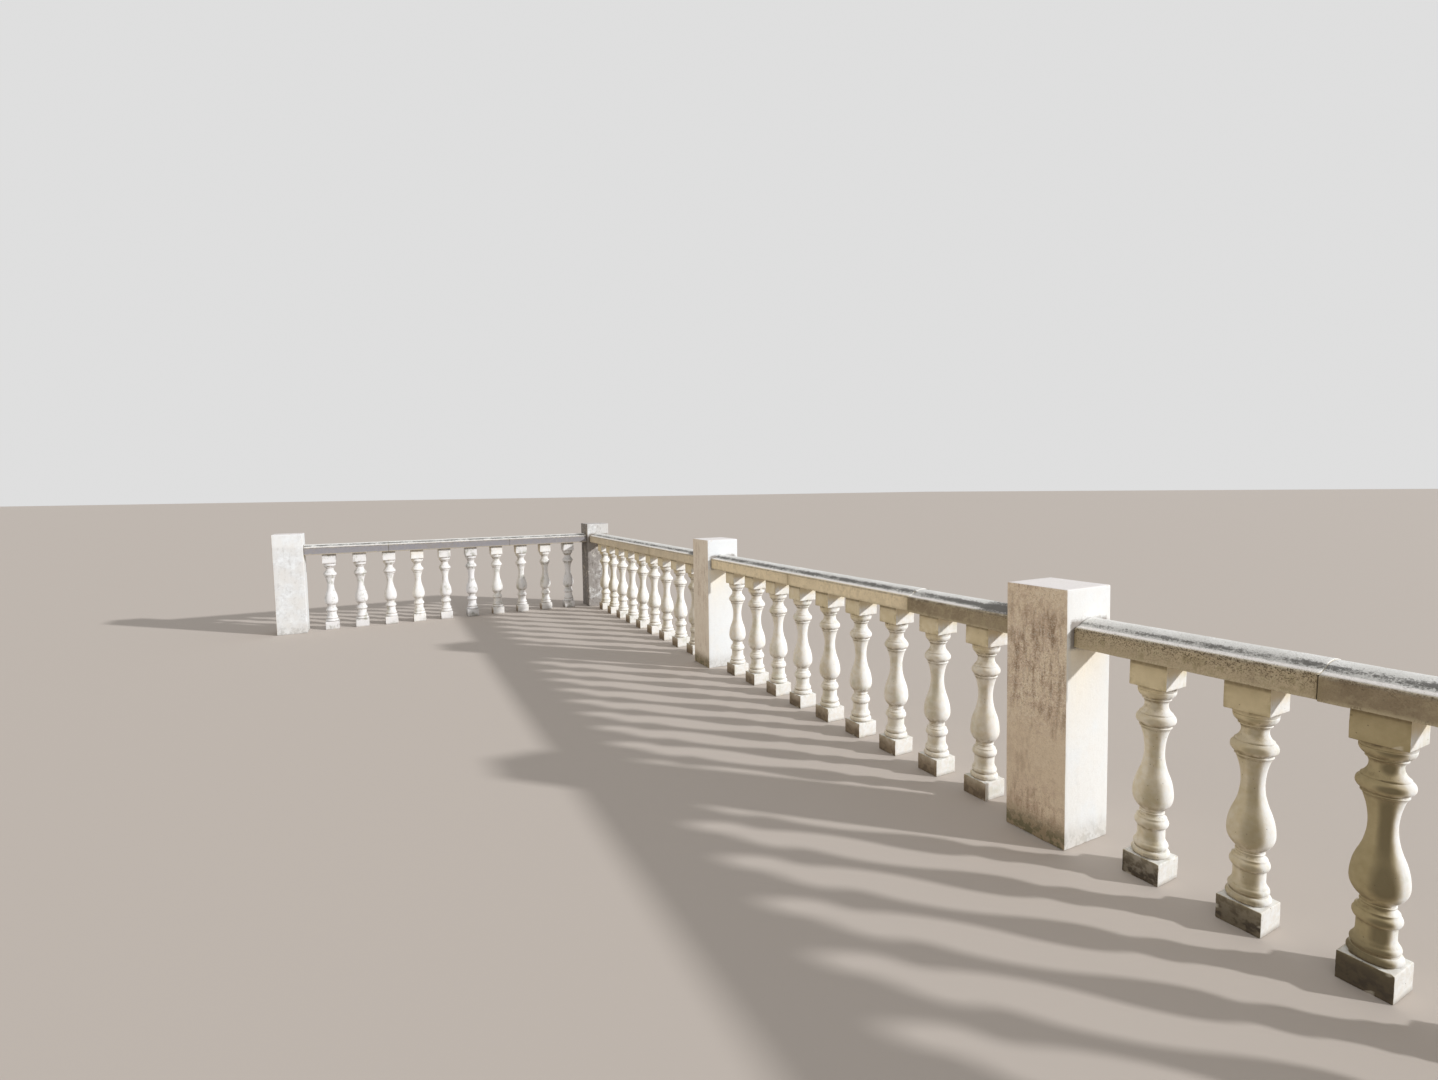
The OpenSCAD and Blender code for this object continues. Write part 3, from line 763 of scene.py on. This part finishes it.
# One procedural finish and the nodes that its formulas build
class StoneFinish:
    def __init__(self, name, look):
        self.look = look
        self.material = bpy.data.materials.new(name)
        self.material.use_nodes = True
        self.nodes = self.material.node_tree.nodes
        self.links = self.material.node_tree.links
        self.fields = 0
        spot = self.add("ShaderNodeTexCoord")
        self.spot = spot.outputs["Object"]
        self.normal = spot.outputs["Normal"]

    def add(self, kind, *sources, **settings):
        node = self.nodes.new(kind)
        for setting, value in settings.items():
            setattr(node, setting, value)
        for socket, source in zip(node.inputs, sources):
            self.plug(socket, source)
        return node

    def plug(self, socket, source):
        if isinstance(source, Field):
            source = source.socket
        if isinstance(source, bpy.types.NodeSocket):
            self.links.new(source, socket)
        else:
            socket.default_value = source

    def fill(self, node, **sources):
        for name, source in sources.items():
            self.plug(node.inputs[name], source)

    def maths(self, operation, a, b):
        return Field(self, self.add("ShaderNodeMath", a, b, operation=operation).outputs[0])

    def mask(self, name):
        return Field(self, self.add("ShaderNodeAttribute", attribute_name=name).outputs["Fac"])

    def height(self):  # above the ground, in millimetres
        return Field(self, self.add("ShaderNodeSeparateXYZ", self.spot).outputs["Z"]) * (1 / mm)

    def facing(self, way):
        straight = Vector(way).normalized()
        node = self.add("ShaderNodeVectorMath", self.normal, straight, operation="DOT_PRODUCT")
        return Field(self, node.outputs["Value"])

    def grid(self, size, stretch):
        self.fields += 1
        node = self.add("ShaderNodeMapping", self.spot)
        self.fill(node, Location=[apart * self.fields for apart in (3.7, 5.1, 1.9)])
        self.fill(node, Scale=[1 / (size * mm * longer) for longer in stretch])
        return node.outputs[0]

    def noise(self, size, detail, stretch=(1, 1, 1), rough=0.55):
        node = self.add("ShaderNodeTexNoise", self.grid(size, stretch))
        self.fill(node, Scale=1, Detail=detail, Roughness=rough)
        return Field(self, node.outputs[0])

    def spots(self, size, reach):  # 1 in the middle of each spot, 0 past its reach
        node = self.add("ShaderNodeTexVoronoi", self.grid(size, (1, 1, 1)))
        self.fill(node, Scale=1)
        return 1 - Field(self, node.outputs["Distance"]).between(reach * 0.4, reach)

    def paint(self, under, over, amount):
        node = self.add("ShaderNodeMix", data_type="RGBA", clamp_factor=True)
        under, over = [paintOf(c) if isinstance(c, tuple) else c for c in (under, over)]
        self.fill(node, Factor=amount, A=under, B=over)
        return node.outputs["Result"]

    def coats(self, colour, layers):  # colours over the first, each with its amount
        for name, amount in layers:
            colour = self.paint(colour, self.look[name], amount)
        return colour

    def finished(self, colour, roughness, relief):  # relief in millimetres
        shader = self.nodes["Principled BSDF"]
        shader.inputs["Specular IOR Level"].default_value = 0.25
        self.plug(shader.inputs["Base Color"], colour)
        bump = self.add("ShaderNodeBump")
        self.fill(bump, Distance=mm, Height=relief)
        self.fill(shader, Roughness=roughness, Normal=bump.outputs[0])
        return self.material


def paintOf(shown):  # screen colour, 0 to 255, as light
    parts = [c / 255 for c in shown]
    return (*[c / 12.92 if c <= 0.04045 else ((c + 0.055) / 1.055) ** 2.4 for c in parts], 1)


# Cast stone of the balusters: pale, tanned on the sheltered side, where warm shade and a dark core shadow are
# also painted; dirty at the foot, and darker in the mouldings, on the undersides and under the rail from dirt
# and painted shade
balusterLook = {
    "clean": (248, 248, 246), "grey": (232, 231, 232), "cream": (242, 231, 212),
    "tan": (238, 221, 183), "brown": (170, 154, 116), "sootAndShade": (128, 112, 85),
    "filmAndCoreShade": (128, 116, 88), "grime": (112, 99, 78), "silt": (196, 170, 136), "foot": (76, 67, 57),
    "speck": (104, 92, 72), "moss": (204, 208, 184), "cold": (140, 136, 138), "fresh": (244, 236, 216),
    # ways of the sheltered side with its painted warm shade, of the painted dark core shadow, and of the
    # abacus side with drips and painted rail shade
    "shelteredShadedWay": (-0.35, -0.94, 0), "shadyWay": (0.46, -0.89, 0), "dripShadeWay": (0.94, 0.2, 0),
    # heights between which each starts or ends
    "mudEnds": (82, 122), "mudThins": (25, 95), "rimEnds": (4, 22), "filmEnds": (105, 190),
    "shaftStarts": (98, 108), "shaftEnds": (752, 768), "capitalStarts": (700, 780),
    "dripShadeStarts": (806, 850), "sootAndShadeStarts": (857, 866),
}


def makeBalusterStone(look):
    f = StoneFinish("balusterStone", look)
    tone, greyed, muddy = f.mask("tone"), f.mask("greyed"), f.mask("muddy")
    hollow, border = f.mask("hollow"), f.mask("border")
    level = f.height()
    cloud = f.noise(85, 4)
    patch = f.noise(26, 4)
    streak = f.noise(12, 3, (1, 1, 9))
    fine = f.noise(4, 4, rough=0.65)
    grain = f.noise(1.1, 2)
    pits = f.spots(24, 0.085)
    # the side turned from the key lamp: real stains, and also painted warm shade that ends sharply near the
    # lit side
    shelteredShadedSide = f.facing(look["shelteredShadedWay"]).between(-0.05, 0.6)
    warmed = shelteredShadedSide * (1 - 0.85 * greyed)
    flatTop = f.facing((0, 0, 1)).between(0.5, 0.9)
    under = f.facing((0, 0, -1)).between(0.2, 0.8)
    low = 1 - (level + 40 * (patch - 0.5) + 40 * (streak - 0.5)).between(*look["mudEnds"])
    low = low * (1 - (1.85 - 1.6 * muddy) * level.between(*look["mudThins"])) * (1 - 0.8 * flatTop)
    rim = 1 - (level + 24 * (patch - 0.5)).between(*look["rimEnds"])
    darkened = (1.6 * cloud + 0.3 * patch + 0.4 * streak + 0.15 * border).between(1.2, 1.6)
    capital = level.between(*look["capitalStarts"])
    tanned = (0.15 + 0.5 * capital + (0.9 + 0.3 * capital) * tone + 0.5 * (patch + cloud - 1)).between(0, 1)
    # drip stains and painted warm shade in the rail's shadow, near the top of the abacus side that faces +X
    dripsAndRailShade = (level + 30 * (streak - 0.5)).between(*look["dripShadeStarts"]) * (1 - 2 * greyed)
    onShaft = level.between(*look["shaftStarts"]) * (1 - level.between(*look["shaftEnds"]))
    # painted shade: a dark core shadow on the shaft's side that faces just away from the key lamp
    shady = f.facing(look["shadyWay"]).between(0.78, 1) * onShaft
    filmed = (1 - level.between(*look["filmEnds"])) * shelteredShadedSide
    crevice = (hollow + 0.8 * (fine + patch - 1)).between(0.2, 0.9)
    colour = f.coats(look["clean"], [
        # grey and cold patches: lichen, and on the return bay partly painted dappled tree shade
        ("grey", (greyed + 1.2 * (cloud - 0.5)).between(0.1, 0.7)),
        ("cream", (0.3 * patch.between(0.4, 0.65) + 0.7 * shelteredShadedSide) * (1 - greyed)),
        ("cold", darkened * greyed),
        ("moss", (cloud + 0.4 * streak).between(0.72, 0.9) * 0.3),
        ("tan", warmed * tanned),
        ("tan", dripsAndRailShade * f.facing(look["dripShadeWay"]).between(0.4, 0.9) * 0.8),
        ("brown", warmed * (tone + 0.5 * (cloud - 0.5) + 0.3 * (patch - 0.5)) * 0.85),
        # painted core shadow first, then a real film low on the sheltered side
        ("filmAndCoreShade", shady * (0.08 + 0.95 * tone + 0.3 * (cloud - 0.5))),
        ("filmAndCoreShade", filmed * (1.3 * tone - 0.25).between(0, 1)),
        ("brown", border * patch.between(0.35, 0.6) * (0.15 + 0.5 * warmed)),
        # dirt and painted shade: a dark line just under the rail, darker downward faces, darker hollows of
        # the mouldings
        ("sootAndShade", level.between(*look["sootAndShadeStarts"]) * (0.2 + 0.7 * streak) * warmed),
        ("sootAndShade", under * (0.2 + 0.5 * patch.between(0.4, 0.6))),
        ("sootAndShade", crevice * (0.35 + 0.35 * shelteredShadedSide)),
        ("silt", low * shelteredShadedSide * (5 - 5 * muddy) * (1 - greyed)),
        ("foot", low * muddy * (0.17 + 0.83 * shelteredShadedSide) * (0.8 + 0.2 * patch.between(0.4, 0.6))),
        ("grime", rim * muddy * (0.35 - 0.1 * shelteredShadedSide)),
        ("speck", pits * 0.75),
        ("grime", (0.5 - fine).between(0.08, 0.28) * (0.12 + 0.3 * low)),
        ("fresh", f.mask("worn") * 0.4),
    ])
    relief = 0.3 * grain + 0.7 * fine + 0.8 * patch - 1.4 * pits
    return f.finished(colour, 0.98 - 0.16 * fine, relief)


# Rail stones: brown pitted faces, greyer on the return bay from lichen and painted tree shade, pale margins,
# grey lichen at the crown's foot, a painted pier shadow over ends in a pier's shade, a chalky crown
railLook = {
    "brown": (142, 126, 102), "pale": (249, 230, 194), "grey": (140, 140, 149),
    "blotch": (158, 142, 110), "light": (204, 190, 158),
    "speck": (98, 86, 66), "margin": (251, 246, 242), "crown": (236, 235, 231), "chalk": (249, 248, 245),
    "lichenAndShade": (110, 108, 105), "line": (88, 78, 70), "edge": (226, 216, 192), "soffit": (150, 137, 112),
    "bleached": (238, 232, 216), "sunnyWay": (-0.4, 0.92, 0),
}


def makeRailStone(look):
    f = StoneFinish("railStone", look)
    tone, greyed, pitted = f.mask("tone"), f.mask("greyed"), f.mask("pitted")
    onTop, nearEnd = f.mask("onTop"), f.mask("nearEnd")
    cloud = f.noise(160, 4)
    patch = f.noise(30, 5)
    streak = f.noise(16, 3, (1, 1, 5))
    fine = f.noise(4.6, 3, rough=0.7)
    mottle = f.noise(9, 3, rough=0.6)
    grain = f.noise(1.2, 2)
    pits = f.spots(12, 0.24) * f.noise(45, 2).between(0.46, 0.56)
    face = f.coats(look["brown"], [
        ("pale", tone + 0.7 * (cloud - 0.5)),
        # grey on the return bay: lichen, partly painted tree shade
        ("grey", greyed * (1.05 + 0.6 * (patch - 0.5))),
        ("light", patch.between(0.5, 0.62) * 0.6 * pitted),
        ("blotch", (patch + cloud + 0.5 * streak).between(1.25, 1.5) * 0.6 * pitted),
        ("line", f.mask("underArris") * (0.45 + 0.55 * streak.between(0.35, 0.6)) * 0.65),
        ("blotch", nearEnd * 0.5 * (1 - greyed)),
        ("bleached", f.facing(look["sunnyWay"]).between(0.2, 0.8) * (0.45 + 0.4 * patch)),
    ])
    growth = f.mask("crownFoot") * (0.6 + 0.6 * cloud.between(0.36, 0.62))
    growth = growth + 1.1 * (patch - 0.5) + 2.2 * (mottle - 0.5) + 2.0 * (fine - 0.5)
    top = f.coats(look["crown"], [
        ("chalk", (cloud + 0.5 * patch).between(0.6, 0.9)),
        ("margin", f.mask("margin")),
        ("chalk", nearEnd.between(0.4, 0.8) * (0.3 + patch)),
        # lichen, darkened further by the pier's painted shadow at shaded ends
        ("lichenAndShade", (growth + 0.8 * f.mask("pierShadow")).between(0.2, 1.05) * 0.9),
    ])
    onFace = (1 - 0.75 * onTop) * pitted * f.mask("upperFace")
    colour = f.coats(f.paint(face, top, onTop), [
        ("edge", f.mask("arris") * (patch + fine).between(0.85, 1.1) * 0.7),
        ("light", f.mask("lowerEdge") * (patch + fine).between(0.75, 1.0) * 0.7),
        ("soffit", f.facing((0, 0, -1)).between(0.5, 0.9)),
        ("speck", (0.98 - 0.45 * mottle - 1.45 * fine).between(0.06, 0.17) * onFace),
        ("edge", (0.6 * mottle + 0.9 * fine).between(0.84, 1.0) * 0.35 * pitted),
        ("speck", pits * 0.75 * onFace),
        ("edge", f.mask("worn") * 0.4),
    ])
    relief = 0.4 * grain + 1.1 * fine + 1.3 * mottle + 0.8 * patch - 1.6 * pits
    return f.finished(colour, 0.99 - 0.12 * fine, relief)


# Hand-floated render of the piers, washed by rain, with painted warm shade on the sheltered side, painted
# warm light in the rail's shadow, painted shade by the rail's end and painted tree shade on the corner pier
pierLook = {
    "light": (235, 238, 240), "warm": (240, 236, 229), "tan": (240, 221, 192), "stain": (190, 164, 139),
    "dark": (136, 113, 86), "top": (250, 245, 244), "foot": (150, 133, 106), "moss": (108, 104, 78),
    "mauve": (202, 172, 152), "sootAndShade": (116, 103, 90), "speck": (122, 102, 78), "fresh": (222, 210, 190),
    "cold": (156, 151, 147), "lichenAndShade": (116, 110, 105), "wash": (253, 245, 230), "paintedBounce": (254, 245, 226),
    "shelteredShadedWay": (-0.35, -0.94, 0), "terraceWay": (0.7, -0.7, 0),
    # heights between which each starts or ends
    "mudEnds": (30, 140), "footStainEnds": (140, 330), "stainThins": (200, 850),
    "bandStarts": (430, 640), "bandThins": (900, 1040), "sunStarts": (960, 1010),
}


def makePierRender(look):
    f = StoneFinish("pierRender", look)
    tone = f.mask("tone")
    level = f.height()
    cloud = f.noise(170, 5)
    patch = f.noise(36, 6, rough=0.62)
    drip = f.noise(30, 6, (1, 1, 4.2), 0.6)
    mottle = f.noise(9, 4, rough=0.65)
    fine = f.noise(4, 4, rough=0.65)
    grain = f.noise(1.3, 2)
    shelteredShadedSide = f.facing(look["shelteredShadedWay"]).between(-0.3, 0.7)
    up = f.facing((0, 0, 1)).between(0.6, 0.9)
    low = 1 - (level + 110 * (patch - 0.5) + 80 * (drip - 0.5)).between(*look["mudEnds"])
    band = level.between(*look["bandStarts"]) * (1 - 0.5 * level.between(*look["bandThins"]))
    zone = 0.3 + 0.72 * band + 0.5 * (1 - level.between(*look["footStainEnds"]))
    inner = f.mask("inner").between(0.02, 0.5)  # stains gather towards the middle of a face
    old = shelteredShadedSide * zone * (0.15 + 0.75 * tone) * (0.55 + 0.5 * inner)
    # grey patches: lichen and painted dappled tree shade, cleared by painted sunlight at the top of the face
    # towards +X
    sunlit = level.between(*look["sunStarts"]) * f.facing((1, 0, 0)).between(0.5, 0.9)
    greyed = f.mask("greyed") * (0.35 + 0.65 * f.facing(look["terraceWay"]).between(-0.3, 0.4))
    greyed = greyed * (1 - 0.55 * sunlit)
    colour = f.coats(look["light"], [
        ("warm", (cloud + 0.3 * tone).between(0.5, 0.85) * 0.45),
        # the sheltered side: real stains, and also painted warm shade
        ("tan", shelteredShadedSide * (0.65 + 0.35 * tone + 0.1 * patch)),
        ("stain", shelteredShadedSide * tone * (0.33 - 0.12 * level.between(*look["stainThins"]))),
        # painted light: warm bounce light in the rail's shadow on the pier's face
        ("paintedBounce", f.mask("run") * (0.9 + 0.8 * drip)),
        ("mauve", (cloud + patch).between(0.9, 1.1) * 0.5 * old),
        ("stain", (drip + 0.5 * cloud + 0.2 * mottle).between(0.82, 0.94) * 0.95 * old),
        ("dark", (drip + 0.8 * cloud + 0.3 * mottle).between(1.08, 1.26) * 0.85 * old),
        ("stain", (patch + 0.4 * mottle).between(0.74, 0.82) * (0.04 + 0.6 * old)),
        ("wash", (fine + mottle).between(1.02, 1.14) * (0.15 + 0.35 * band) * shelteredShadedSide),
        ("foot", low * (0.22 + 0.7 * shelteredShadedSide)),
        ("moss", low * patch.between(0.46, 0.56) * (0.2 + 0.6 * shelteredShadedSide)),
        ("top", up * (0.7 + 0.3 * patch)),
        # grey lichen and painted tree shade
        ("cold", (patch + cloud).between(0.6, 1.06) * greyed),
        ("lichenAndShade", (drip + patch + 0.25 * shelteredShadedSide).between(1.0, 1.3) * greyed * 0.75),
        # dirt and painted shade round the rail's end
        ("sootAndShade", (f.mask("seam") + 0.7 * (patch + mottle - 1)).between(0.2, 0.95) * 0.75),
        ("speck", (1.0 - fine - mottle).between(0.05, 0.2) * (0.05 + 0.55 * old)),
        ("fresh", f.mask("worn") * 0.5),
    ])
    relief = 0.5 * grain + 0.8 * fine + 0.9 * mottle + 1.2 * patch
    return f.finished(colour, 0.97 - 0.12 * fine, relief)


# Old sandy mortar of the beds and joints
mortarLook = {
    "sand": (112, 101, 82), "dark": (66, 58, 46), "grit": (140, 129, 108), "bleached": (222, 214, 198),
}


def makeOldMortar(look):
    f = StoneFinish("oldMortar", look)
    patch = f.noise(16, 4)
    fine = f.noise(2.6, 4, rough=0.7)
    colour = f.coats(look["sand"], [
        ("dark", patch.between(0.42, 0.62)),
        ("grit", f.spots(3, 0.3) * 0.6),
        ("bleached", f.facing((0, 0, 1)).between(0.3, 0.8) * (0.5 + patch)),
    ])
    return f.finished(colour, 0.99 - 0.1 * fine, 1.2 * fine + 1.5 * patch)


# The mortar keeps the part's own solids
def dressMortar(finish):
    for node in nodesOf("_mortar"):
        cadNodes[node].data.materials.clear()
        cadNodes[node].data.materials.append(finish)
    print("mortar ready")


makeBalusters(balusterShape, balusterWear, makeBalusterStone(balusterLook))
makeRails(railShape, railWear, makeRailStone(railLook))
makePiers(pierWear, makePierRender(pierLook))
dressMortar(makeOldMortar(mortarLook))


# Floor, sky, a key lamp and a soft fill from the terrace
studio = {
    "floorColour": (0.57, 0.51, 0.46),
    "floorWide": 400, "floorMiddle": (5, 0, 0),  # metres
    "skyLight": 0.48,
    "skySeen": 0.92,
    "lamps": {  # towards the lamp, power, degrees across, colour
        "keyLamp": ((0.645, 0.666, 0.375), 3.0, 2, (1, 1, 1)),
        "fillLamp": ((0.3, -0.88, 0.3), 0.44, 70, (1, 0.94, 0.84)),
    },
}


def makeStudio(look):
    scene = bpy.context.scene
    scene.view_settings.view_transform = "Standard"
    bpy.ops.mesh.primitive_plane_add(size=look["floorWide"], location=look["floorMiddle"])
    floor = bpy.context.object
    floor.name = "studioFloor"
    paint = bpy.data.materials.new("studioFloor")
    paint.use_nodes = True
    shader = paint.node_tree.nodes["Principled BSDF"]
    shader.inputs["Base Color"].default_value = (*look["floorColour"], 1)
    shader.inputs["Roughness"].default_value = 1
    floor.data.materials.append(paint)
    for name, (way, power, across, colour) in look["lamps"].items():
        lamp = bpy.data.lights.new(name, "SUN")
        lamp.energy = power
        lamp.angle = math.radians(across)
        lamp.color = colour
        stand = addObject(name, lamp)
        stand.rotation_mode = "QUATERNION"
        stand.rotation_quaternion = Vector(way).to_track_quat("Z", "Y")
    sky = bpy.data.worlds.new("studioSky")
    sky.use_nodes = True
    nodes, links = sky.node_tree.nodes, sky.node_tree.links
    lit = nodes["Background"]
    lit.inputs["Color"].default_value = (1, 1, 1, 1)
    lit.inputs["Strength"].default_value = look["skyLight"]
    seen = nodes.new("ShaderNodeBackground")
    seen.inputs["Strength"].default_value = look["skySeen"]
    path = nodes.new("ShaderNodeLightPath")
    choose = nodes.new("ShaderNodeMixShader")
    for k, socket in enumerate((path.outputs["Is Camera Ray"], lit.outputs[0], seen.outputs[0])):
        links.new(socket, choose.inputs[k])
    links.new(choose.outputs[0], nodes["World Output"].inputs[0])
    scene.world = sky
    print("studio ready")


makeStudio(studio)
